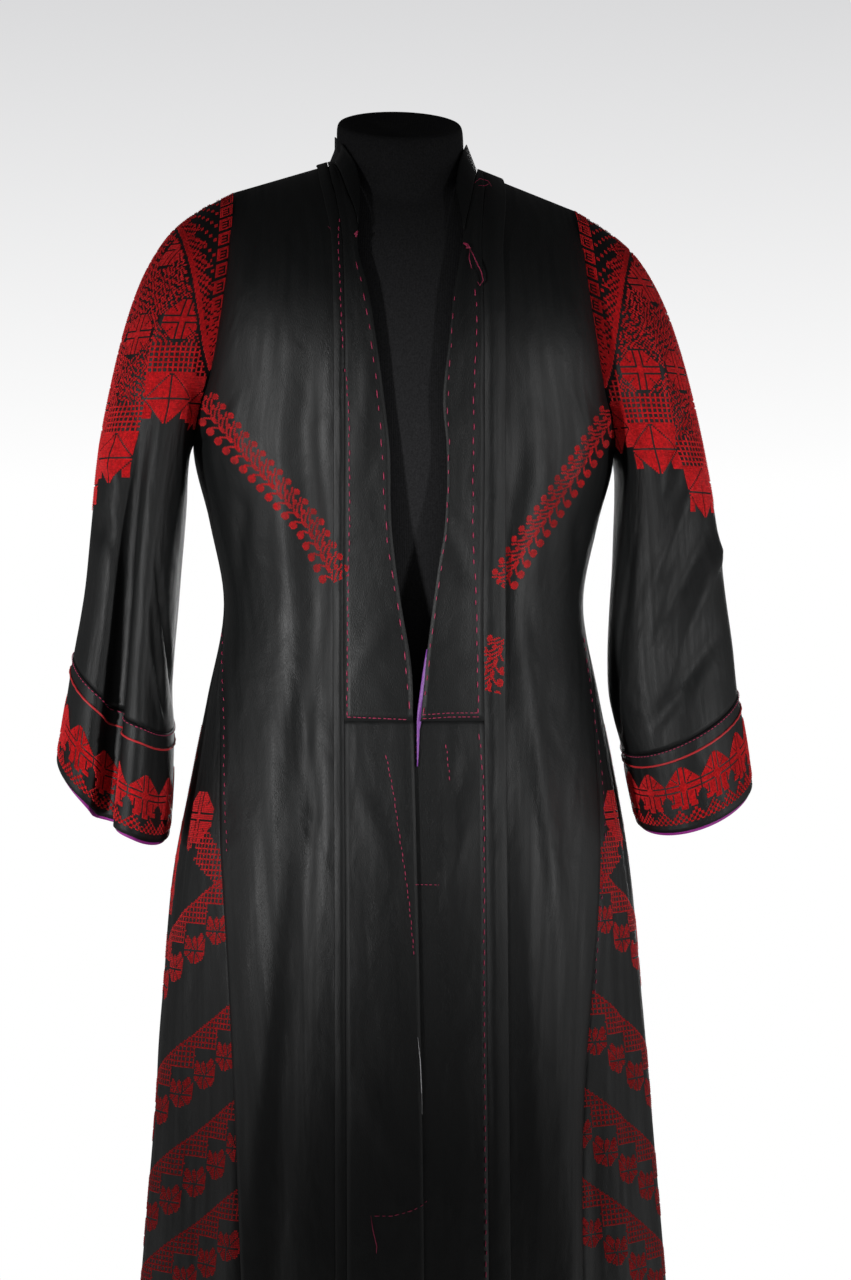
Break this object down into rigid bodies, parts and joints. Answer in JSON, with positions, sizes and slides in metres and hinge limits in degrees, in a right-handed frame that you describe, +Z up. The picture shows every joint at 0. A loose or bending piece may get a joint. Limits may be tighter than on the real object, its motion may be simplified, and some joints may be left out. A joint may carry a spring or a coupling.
{
  "type": "palestinian thobe dress on a dress form",
  "caption": "Long open-fronted black satin dress with embroidered sleeves, cuffs and side gores, on a limbless dress form with a round stand.",
  "frame": {"origin": "on the floor, at the middle of the flat underside of the stand's round base", "axes": "+Z up along the height of the dress; the open front faces -Y; the wearer's left sleeve is at +X"},
  "size_m": [0.6368, 0.4261, 1.472],
  "materials": {
    "black_satin": "soft satin sheen, red cross-stitch embroidery in places",
    "purple_lining": "smooth lining",
    "magenta_facing": "smooth lining",
    "black_jersey": "matte knit cover",
    "painted_stand": "satin black paint"
  },
  "bodies": {
    "root": {"front_panel_right": "black_satin", "front_panel_left": "black_satin", "back_panel": "black_satin", "side_gore_right": "black_satin", "side_gore_left": "black_satin", "front_band_upper_right": "black_satin", "front_band_upper_left": "black_satin", "front_band_lower_right": "black_satin", "front_band_lower_left": "black_satin", "opening_facing": "purple_lining", "neck_band": "black_satin", "sleeve_right": "black_satin", "sleeve_left": "black_satin", "cuff_right": "black_satin", "cuff_left": "black_satin", "cuff_facing_right": "magenta_facing", "cuff_facing_left": "magenta_facing", "dress_form": "black_jersey", "stand_pole": "painted_stand", "stand_base": "painted_stand"}
  },
  "joints": []
}
